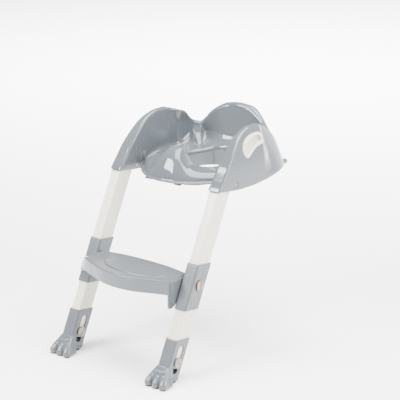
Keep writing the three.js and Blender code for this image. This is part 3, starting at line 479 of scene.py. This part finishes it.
def build_seat():
    h = 1.25
    lo, hh, (X, Y, Z) = grid((0, 188, 392), (175, 566, 560), h)
    nx, ny, nz = len(X), len(Y), len(Z)
    x2, y2 = [a.ravel() for a in np.meshgrid(X, Y, indexing="ij")]
    p, d = [a.reshape(nx, ny) for a in wall_map(x2, y2)]
    z = Z[None, None, :]
    P3 = p[:, :, None]
    oi, ii = outer_in(z, P3), inner_in(z, P3)
    fo = (oi - d[:, :, None]) / np.sqrt(1 + np.gradient(oi, h, axis=2) ** 2)
    fi = (d[:, :, None] - ii) / np.sqrt(1 + np.gradient(ii, h, axis=2) ** 2)
    crest = CREST(p)
    slope = (CREST(p + 0.5) - CREST(p - 0.5)) * np.where(p > CORNER_Y, 0.45, 1.0)
    ft = (z - crest[:, :, None]) / np.sqrt(1 + slope ** 2)[:, :, None]
    r = lerp(5.6, 6.8, smooth(260, 330, p)) + 2.4 * turn(p)[1]
    wall = inter(np.maximum(fo, fi), ft, r[:, :, None])
    wall = inter(wall, (198 - Y)[None, :, None] + 0 * z, 2.0)
    del fi, ft, oi, ii
    # sitting surface, splash guard and throat
    deg, q = [a.reshape(nx, ny) for a in throat_map(x2, y2)]
    H = base_height(deg, q, x2.reshape(nx, ny), p, d)
    for _ in range(3):
        Hp = np.pad(H, 1, mode="edge")
        H = (Hp[:-2, 1:-1] + Hp[2:, 1:-1] + Hp[1:-1, :-2] + Hp[1:-1, 2:] + 2 * H) / 6
    gx, gy = np.gradient(H, h)
    m = np.sqrt(1 + np.clip(np.hypot(gx, gy), 0, 5) ** 2)
    base = inter((z - H[:, :, None]) / m[:, :, None], -q[:, :, None] + 0 * z, 8.5)
    outl = np.concatenate([OUTLINE[:44], [[172, 302], [172, 620], [-60, 620], [-60, 199]]])
    fr = polygon(x2, y2, outl).reshape(nx, ny)
    base = inter(base, fr[:, :, None] + 0 * z, 1.5)
    base = np.maximum(base, fo + 13.0)
    del fo
    kk = lerp(2.5, 12.0, smooth(285, 345, y2)).reshape(nx, ny)
    k = (kk - 8.5 * smooth(436, 450, p) * (1 - smooth(480, 492, p)))[:, :, None]
    F = union(wall, base, k)
    del wall, base
    g = np.gradient(F, h)
    F = F / np.clip(np.sqrt(g[0] ** 2 + g[1] ** 2 + g[2] ** 2), 0.6, 2.5)
    del g
    # flutes at the foot of the arm's inner wall
    X3, Y3 = X[:, None, None], Y[None, :, None]
    for y, z0, z1 in ((270, 420, 466), (287, 420, 459), (303, 422, 452)):
        F = union(F, ellipsoid(X3, Y3, z, (134.6, y, (z0 + z1) / 2), (4.2, 5.6, (z1 - z0) / 2)), 2.5)
    S = np.maximum(F, -(F + 3.0))
    # bearing bosses behind the fold hinge
    rad = np.sqrt((Y3 - PIN_Y) ** 2 + (z - PIN_Z) ** 2)
    S = np.minimum(S, np.maximum(np.maximum(rad - 11, 164.6 - X3), F))
    zc = np.where((d < 37) & ~((Y[None, :] > 300) & (Y[None, :] < 517) & (X[:, None] < 146)), np.interp(Y, BOTTOM[:, 0], BOTTOM[:, 1])[None, :], FLANGE_BOTTOM)
    S = inter(S, zc[:, :, None] - z, 0.7)
    tube = np.maximum(np.maximum(np.abs(q - 1.5) - 1.5, -100)[:, :, None] + 0 * z, np.maximum(T_BOTTOM - z, z - 428))
    S = np.minimum(S, tube)
    # recess of the hinge pin, with a soft edge
    rec = inter(rad - 6.3, 167.5 - X3, 0.4)
    S = inter(S, -rec, 0.6)
    # cut-out for the hand hold
    yy, zz = [a.ravel() for a in np.meshgrid(Y, Z, indexing="ij")]
    hold = polygon(yy, zz, HOLD).reshape(ny, nz)[None, :, :]
    S = inter(S, -np.maximum(hold, 147 - X3), 0.8)
    # rear lugs
    lug = inter(np.sqrt((X3 - 146) ** 2 + (z - 427) ** 2) - 7, np.abs(Y3 - 508) - 11, 1.6)
    S = np.minimum(S, np.maximum(np.maximum(lug, FLANGE_BOTTOM - z), -(F + 3.0)))
    # support ribs under the sitting surface
    rib = np.maximum(np.maximum(np.abs(Y3 - 368) - 1.4, np.abs(X3 - 116) - 20), FLANGE_BOTTOM - z)
    rib = np.minimum(rib, np.maximum(np.maximum(np.abs(X3 - 60) - 1.4, np.abs(Y3 - 495) - 17), FLANGE_BOTTOM - z))
    S = np.minimum(S, np.maximum(rib, F + 1.0))
    full = np.concatenate([S[:0:-1], S], 0)
    P, Q = nets(full, np.array([-X[-1], lo[1], lo[2]]), hh, 3)
    P[:, 0] = np.clip(P[:, 0], -OUT_X, OUT_X)
    o = mesh_object("seat_moulding", floor_to_row(P), Q, GLOSS)
    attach(o, "seat")
    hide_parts("seat_shell")
    return o


build_seat()


# ------------------------------------------------------------------ hand hold inserts
def hold_fn(side):
    def fn(x, y, z):
        d = OUT_X - side * x
        oi = outer_in(z, y)
        f = inter(polygon(y, z, HOLD) + 0.35, oi - 0.8 - d, 1.0)
        f = np.maximum(f, d - oi - 11.5)
        pocket = inter(polygon(y, z, HOLD_IN), d - oi - 9.5, 3.0)
        return inter(f, -pocket, 1.3)
    return fn


for side, tag in SIDES:
    x0, x1 = sorted((side * 138.0, side * 171.5))
    piece(f"hand_hold_{tag}_white", hold_fn(side), (x0, 309, 476), (x1, 403, 537), 0.9, WHITE, "seat", [f"hand_hold_{tag}"], steps=1)


# ------------------------------------------------------------------ screws and pins, axis along X
def head_fn(side, x0, xtip, y0, z0, r, hgt, shank, ang, inward=1, slot_w=3.0):
    def fn(x, y, z):
        u = (side * x - x0) * inward
        a, b = y - y0, z - z0
        rad = np.sqrt(a * a + b * b)
        top = u - (hgt - 1.1 * (rad / r) ** 2)
        f = inter(rad - r, top, 1.4)
        f = inter(f, -u, 0.3)
        c = a * math.cos(ang) + b * math.sin(ang)
        f = inter(f, -np.maximum(np.abs(c) - slot_w / 2, hgt - 2.3 - u), 0.35)
        sh = np.maximum(rad - shank, np.maximum(u - 1.0, -u - abs(x0 - xtip)))
        return np.minimum(f, sh)
    return fn


face = RAIL_X + SLEEVE_W / 2 + GAP
inner = RAIL_X - SLEEVE_W / 2 - GAP
for side, tag in SIDES:
    for name, d0, s0, body, tip, ang in (("step_bolt", STEP_BOLT_D, STEP_BOLT_S, "ladder", RAIL_X - SLEEVE_W / 2 - 11.5, 0.25), ("foot_clamp_bolt", CLAMP_D, CLAMP_S, f"clamp_{tag}", RAIL_X - 9.8, 1.0)):
        xs = sorted((side * (tip - 1.5), side * (face + 7)))
        piece(f"{name}_{tag}_head", head_fn(side, face, tip, d0, s0, 12.5, 5.4, 3.85, ang), (xs[0], d0 - 14, s0 - 14), (xs[1], d0 + 14, s0 + 14), 0.55, METAL, body, [f"{name}_{tag}"], "ladder")
    xs = sorted((side * (inner - 7), side * (RAIL_X - 9)))
    piece(f"foot_clamp_nut_{tag}_head", head_fn(side, inner, RAIL_X - 10.4, CLAMP_D, CLAMP_S, 12.5, 5.4, 3.85, -0.35, -1), (xs[0], CLAMP_D - 14, CLAMP_S - 14), (xs[1], CLAMP_D + 14, CLAMP_S + 14), 0.55, METAL, "ladder", [f"foot_clamp_nut_{tag}"], "ladder")
    xs = sorted((side * 135.0, side * 171.0))
    piece(f"hinge_pin_{tag}_metal", head_fn(side, 167.9, 136.4, PIN_Y, PIN_Z, 5.85, 1.7, 3.65, 0.6, slot_w=0.01), (xs[0], PIN_Y - 7, PIN_Z - 7), (xs[1], PIN_Y + 7, PIN_Z + 7), 0.45, METAL, "seat", [f"hinge_pin_{tag}"])


# ------------------------------------------------------------------ rails and collars, in the ladder's axes
def rail_fn(x0):
    def fn(x, d, s):
        f = rrect(x - x0, d - RAIL_D / 2, RAIL_W, RAIL_D, 4.5)
        f = np.maximum(f, -rrect(x - x0, d - RAIL_D / 2, RAIL_W - 2 * RAIL_WALL, RAIL_D - 2 * RAIL_WALL, 2.6))
        f = np.maximum(np.maximum(f, 50.2 - s), s - 498.5)
        return np.maximum(f, ((s - 466) * 13 / 33.0 - d) * 0.93)
    return fn


def collar_fn(x0):
    k = math.sqrt(1 + COLLAR_RISE ** 2)

    def fn(x, d, s):
        f = rrect(x - x0, d - RAIL_D / 2, SLEEVE_W, SLEEVE_D, 5.5)
        f = inter(f, (s - COLLAR_TOP - COLLAR_RISE * d) / k, 1.1)
        f = inter(f, (COLLAR_BOTTOM + COLLAR_RISE * d - s) / k, 1.1)
        return inter(f, -rrect(x - x0, d - RAIL_D / 2, RAIL_W + 2 * GAP, RAIL_D + 2 * GAP, 4.6), 0.5)
    return fn


for side, tag in SIDES:
    x0 = side * RAIL_X
    o = piece(f"rail_{tag}_white", rail_fn(x0), (x0 - 16, -2, 46), (x0 + 16, 47, 503), (0.9, 0.9, 3.0), WHITE, "ladder", [f"rail_{tag}"], "ladder", rounds=0, steps=2)
    piece(f"collar_{tag}_grey", collar_fn(x0), (x0 - 19, -5, 176), (x0 + 19, 50, 318), (0.9, 0.9, 0.9), SATIN, "ladder", [f"step_collar_{tag}"], "ladder")

# ------------------------------------------------------------------ step
SF = Table([[-133.5, 73], [-110, 61.5], [-90, 54], [-70, 45.5], [-40, 36], [0, 32], [40, 36], [70, 45.5], [90, 54], [110, 61.5], [133.5, 70]])
SB = Table([[0, 155], [60, 152.5], [100, 146], [133.5, 139]])
STEP_X = RAIL_X - SLEEVE_W / 2 - GAP
STEP_R = 130.0
PLATE = [[x, float(SF(x))] for x in np.linspace(-STEP_X, STEP_R, 61)] + [[x, float(SB(abs(x)))] for x in np.linspace(STEP_R, -STEP_X, 45)]
TAN = math.tan(LEAN)


def collar_front(z):
    return LADDER_Y0 + z * TAN - (GAP + SLEEVE_WALL) / CS


def build_step():
    h = 1.0
    lo, hh, (X, Y, Z) = grid((-173, 28, 160), (134, 160, 240), h)
    nx, ny, nz = len(X), len(Y), len(Z)
    x2, y2 = [a.ravel() for a in np.meshgrid(X, Y, indexing="ij")]
    X3, Y3, z = X[:, None, None], Y[None, :, None], Z[None, None, :]
    out = polygon(x2, y2, PLATE).reshape(nx, ny)[:, :, None]
    draft = (STEP_Z - z) * 0.012
    top = inter(out + draft, z - STEP_Z, 3.2)
    body = np.maximum(top, -(top + 3.2))
    body = inter(body, 200 - z, 0.9)
    # ribs and bolt bosses under the plate
    for rx in (-66, 0, 66):
        body = np.minimum(body, np.maximum(np.maximum(np.abs(X3 - rx) - 1.4, top + 1), 206 - z))
    body = np.minimum(body, np.maximum(np.maximum(np.abs(Y3 - 95.5) - 1.4, top + 1), 206 - z))
    by, bz = LADDER_Y0 + STEP_BOLT_D * CS + STEP_BOLT_S * SN, -STEP_BOLT_D * SN + STEP_BOLT_S * CS
    rad = np.sqrt((Y3 - by) ** 2 + (z - bz) ** 2)
    boss = np.maximum(np.abs(np.abs(X3 - (STEP_R - STEP_X) * 0) - (STEP_X - 5.5)) - 5.3, rad - 9)
    boss = np.where(X3 > 0, np.maximum(boss, 0 * z + X3 - STEP_X + 0.2), boss)
    boss = np.maximum(boss, 4.4 - rad)
    body = np.minimum(body, boss)
    # end walls running down in front of the rails
    yy, zz = [a.ravel() for a in np.meshgrid(Y, Z, indexing="ij")]
    gr = polygon(yy, zz, [[69.5, 232], [70.5, 168], [74, 164.5], [86, 163], [120, 205], [136, 205], [136, 232]]).reshape(ny, nz)[None]
    gl = polygon(yy, zz, [[112, 232], [112, 196], [104, 172], [120, 172], [136, 205], [136, 232]]).reshape(ny, nz)[None]
    body = union(body, inter(gr, np.abs(X3 - (STEP_R - 2)) - 2, 1.0), 1.0)
    g2 = polygon(yy, zz, [[80, 231], [84, 172], [88, 167.5], [120, 206], [136, 206], [136, 231]]).reshape(ny, nz)[None]
    body = np.minimum(body, inter(g2, np.abs(X3 - 131.6) - 2.5, 0.4))
    body = np.minimum(body, inter(gl, np.abs(X3 + STEP_X - 2) - 2, 1.0))
    # the skirt wraps across the front of the left collar
    t = np.clip((-STEP_X + 3 - X3) / (168.8 - STEP_X + 3), 0, 1)
    cf = collar_front(z)
    yf = lerp(73 + (STEP_Z - z) * 0.02, cf - 2.2, t ** 1.25)
    zt, zb = STEP_Z - 0.4 - 16 * t ** 1.3, 200 - 11 * t
    wrap = inter(yf - Y3, z - zt, 1.8)
    wrap = inter(wrap, Y3 - (cf - 0.4), 0.4)
    wrap = inter(wrap, zb - z, 0.8)
    wrap = inter(wrap, -168.6 - X3 + 0 * wrap, 1.2)
    wrap = np.maximum(wrap, X3 + STEP_X - 4)
    body = union(body, wrap, 1.5)
    # anti-slip pad: a raised oval with shallow ribs and a fine groove round it
    ov = ellipsoid(X3, Y3, 0 * z, (10, 95, 0), (92, 40, 60))
    groove = np.maximum(np.abs(ov - 1.4) - 1.3, STEP_Z - 0.9 - z)
    body = inter(body, -groove, 0.4)
    body = np.minimum(body, inter(inter(ov, z - STEP_Z - 1.95, 0.6), STEP_Z - 2 - z, 0.1))
    for y in (71, 83, 95, 107, 119):
        hw = 74 * math.sqrt(1 - ((y - 95) / 40) ** 2)
        rib = np.maximum(rrect(X3 - 10, Y3 - y, 2 * hw, 3.2, 1.55) + 0 * z, STEP_Z + 0.7 - z)
        body = inter(body, -rib, 0.5)
    P, Q = nets(body, lo, hh, 2)
    P[:, 2] = np.minimum(P[:, 2], STEP_Z + 2.0)
    o = mesh_object("step_moulding", floor_to_row(P), Q, SATIN)
    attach(o, "ladder")
    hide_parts("step_tread")


build_step()

# ------------------------------------------------------------------ feet
TOES = (-22.5, -1.0, 20.5)
TOE_Y = Table([[2, -3.5], [5.5, -3.5], [12, -2], [20, 3], [28, 10], [36, 17.5], [44, 25]])
TOE_RY = Table([[2, 8.6], [5.5, 9.6], [12, 11], [20, 10.4], [28, 8.6], [36, 5.6], [44, 3]])
TOE_RX = Table([[2, 10.2], [5.5, 10.5], [12, 10.3], [20, 9.2], [28, 7.6], [36, 5.6], [44, 3.4]])
INSTEP_W = Table([[2, 59], [10, 55], [18, 48], [28, 39], [38, 34], [44, 32]])
BODY_Y = Table([[2, 24], [12, 25], [26, 29.5], [45, 37]])
BODY_W = Table([[2, 34.6], [12, 34.5], [26, 34.4], [45, 34.2]])
BODY_D = Table([[2, 56.2], [12, 54], [26, 51.5], [45, 44]])


def to_ladder(y, z):
    return (y - LADDER_Y0) * CS - z * SN, (y - LADDER_Y0) * SN + z * CS


def foot_fn(x0):
    k = math.sqrt(1 + COLLAR_RISE ** 2)
    sg = 1 if x0 > 0 else -1

    def fn(x, y, z):
        d, s = to_ladder(y, z)
        xx = x - x0
        sleeve = rrect(xx, d - RAIL_D / 2, SLEEVE_W, SLEEVE_D, 5.5)
        sleeve = inter(sleeve, (s - FOOT_TOP - COLLAR_RISE * d) / k, 1.1)
        sleeve = np.maximum(sleeve, 24 - s)
        body = rrect(xx, y - BODY_Y(z), BODY_W(z), BODY_D(z), 7)
        body = inter(body, z - 38, 2)
        f = union(sleeve, body, 1.0)
        step_in = inter(rrect(xx, y - 12.5 - np.maximum(z - 14, 0) * 0.32, INSTEP_W(z), 30, 8), z - 41, 4)
        f = union(f, step_in, 3.0)
        for toe in TOES:
            tx = sg * toe * (1 - 0.011 * np.clip(z - 12, 0, 40))
            ry, rx = TOE_RY(z), TOE_RX(z)
            a, b = (xx - tx) / rx, (y - TOE_Y(z)) / ry
            t = (np.sqrt(a * a + b * b) - 1) * np.minimum(rx, ry) * 0.9
            t = inter(t, z - 43, 2)
            f = union(f, t, 1.6)
        f = inter(f, 3.2 - z, 1.2)
        rail = np.maximum(rrect(xx, d - RAIL_D / 2, RAIL_W + 2 * GAP, RAIL_D + 2 * GAP, 4.6), 27 - s)
        f = inter(f, -rail, 0.5)
        ss = np.clip(s, SLOT_LOW, SLOT_HIGH)
        slot = np.sqrt((d - CLAMP_D) ** 2 + (s - ss) ** 2) - SLOT_W / 2
        f = inter(f, -slot, 0.9)
        room = np.maximum(np.sqrt((d - CLAMP_D) ** 2 + (s - ss) ** 2) - 13.2, SLEEVE_W / 2 + 0.1 - np.abs(xx))
        return inter(f, -room, 0.3)
    return fn


def sole_outline(x0):
    sg = 1 if x0 > 0 else -1
    pts = [(x0 - 13, 51.5), (x0 - 17.4, 47), (x0 - 17.6, 18), (x0 - 21, 8)]
    for toe in (TOES if x0 > 0 else TOES[::-1]):
        for i in range(7):
            a = math.pi * (200 + 140 * i / 6) / 180
            pts.append((x0 + sg * toe + 9.4 * math.cos(a), -3.5 + 8 * math.sin(a)))
    pts += [(x0 + 21, 8), (x0 + 17.6, 18), (x0 + 17.4, 47), (x0 + 13, 51.5)]
    return pts


for side, tag in SIDES:
    x0 = side * RAIL_X
    o = piece(f"foot_{tag}_grey", foot_fn(x0), (x0 - 36, -18, 0.5), (x0 + 36, 108, 104), 1.0, SATIN, f"foot_{tag}_body", [f"foot_{tag}"])
    pts = sole_outline(x0)

    def sole(x, y, z, pts=pts):
        f = inter(polygon(x, y, pts), z - 2.85, 0.4)
        tread = np.abs((y * 0.5) % 3.0 - 1.5) - 0.35
        return inter(f, -z + 0.6 * smooth(0.0, 0.5, tread), 0.2)

    piece(f"foot_sole_{tag}_rubber", sole, (x0 - 33, -14, -1.0), (x0 + 33, 54, 4.2), (0.9, 0.9, 0.5), RUBBER, f"foot_{tag}_body", [f"foot_sole_{tag}"], rounds=0, steps=0)


# ------------------------------------------------------------------ pads under the seat
def pad_fn(x0, x1, y0, y1, z0, z1):
    def fn(x, y, z):
        f = rrect(x - (x0 + x1) / 2, y - (y0 + y1) / 2, x1 - x0, y1 - y0, 2.4)
        return inter(f, np.abs(z - (z0 + z1) / 2) - (z1 - z0) / 2, 0.6)
    return fn


for side, tag in SIDES:
    for name, bx in (("front", (44 - 11, 44 + 11, 209, 216)), ("side", (100, 132, 363, 373)), ("rear", (55, 65, 480, 508))):
        x0, x1 = sorted((side * bx[0], side * bx[1]))
        piece(f"ring_pad_{name}_{tag}_rubber", pad_fn(x0, x1, bx[2], bx[3], 417.8, 420.7), (x0 - 1, bx[2] - 1, 416.9), (x1 + 1, bx[3] + 1, 421.6), 0.6, RUBBER, "seat", [f"ring_pad_{name}_{tag}"])

# CAD pieces that stay: the lugs inside the arms and the nuts under the step
for tag in ("right", "left"):
    for n, m in ((f"hinge_block_{tag}", WHITE), (f"step_nut_{tag}", METAL)):
        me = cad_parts[n].data
        me.materials.clear()
        me.materials.append(m)

# ------------------------------------------------------------------ floor, light and camera
def build_floor():
    n = 120
    us = np.linspace(-7, 7, n)
    vs = np.linspace(-6, 9, n)
    P = []
    for v in vs:
        for u in us:
            back = max(0.0, v - 3.4)
            zz = 2.2 * (1 - math.cos(min(back / 2.2, math.pi / 2))) if back < 2.2 * math.pi / 2 else 2.2 + (back - 2.2 * math.pi / 2)
            yv = v if back <= 0 else 3.4 + 2.2 * math.sin(min(back / 2.2, math.pi / 2))
            P.append((u, yv, zz - 0.0002 + 0.00004 * math.sin(u * 9.1) * math.cos(v * 7.3)))
    P = np.array(P)
    a = math.radians(-37.8)
    R = np.array([[math.cos(a), math.sin(a)], [-math.sin(a), math.cos(a)]])
    P[:, :2] = P[:, :2] @ R
    Q = np.array([[j * n + i, j * n + i + 1, (j + 1) * n + i + 1, (j + 1) * n + i] for j in range(n - 1) for i in range(n - 1)])
    m = material("studio_paper", (0.93, 0.93, 0.94), 0.55, tint=0.004, blotch=0.7, grain=60, grain_h=0.0001, rough_span=0.08)
    o = mesh_object("floor_sweep", P, Q, m)


build_floor()


def area(name, pos, target, w, h, power, color=(1, 1, 1)):
    l = bpy.data.lights.new(name, "AREA")
    l.shape = "RECTANGLE"
    l.size, l.size_y = w, h
    l.energy = power
    l.color = color
    o = bpy.data.objects.new(name, l)
    o.location = pos
    o.rotation_euler = (Vector(target) - Vector(pos)).to_track_quat("-Z", "Y").to_euler()
    bpy.context.scene.collection.objects.link(o)
    return o


area("key_high", (-1.25, -2.4, 2.3), (0, 0.1, 0.45), 1.7, 1.2, 330)
area("top_soft", (0.3, 0.3, 3.0), (0, 0, 0), 2.6, 2.6, 430)
area("right_soft", (3.0, 0.3, 1.7), (0, 0, 0.4), 1.6, 1.8, 230)
area("backdrop_wash", (-1.3, 2.2, 2.9), (-2.6, 4.6, 0.9), 3.2, 0.8, 1500)

world = bpy.data.worlds.new("studio")
world.use_nodes = True
bg = world.node_tree.nodes["Background"]
bg.inputs["Color"].default_value = (0.93, 0.95, 1.0, 1)
bg.inputs["Strength"].default_value = 0.8
bpy.context.scene.world = world

cam_data = bpy.data.cameras.new("camera")
cam_data.lens = 120.6
cam_data.sensor_width = 36
cam = bpy.data.objects.new("camera", cam_data)
bpy.context.scene.collection.objects.link(cam)
cam.location = (1.9614, -2.44465, 1.3446)
cam.rotation_euler = (Vector((0.0221, 0.05555, 0.3469)) - cam.location).to_track_quat("-Z", "Y").to_euler()
bpy.context.scene.camera = cam
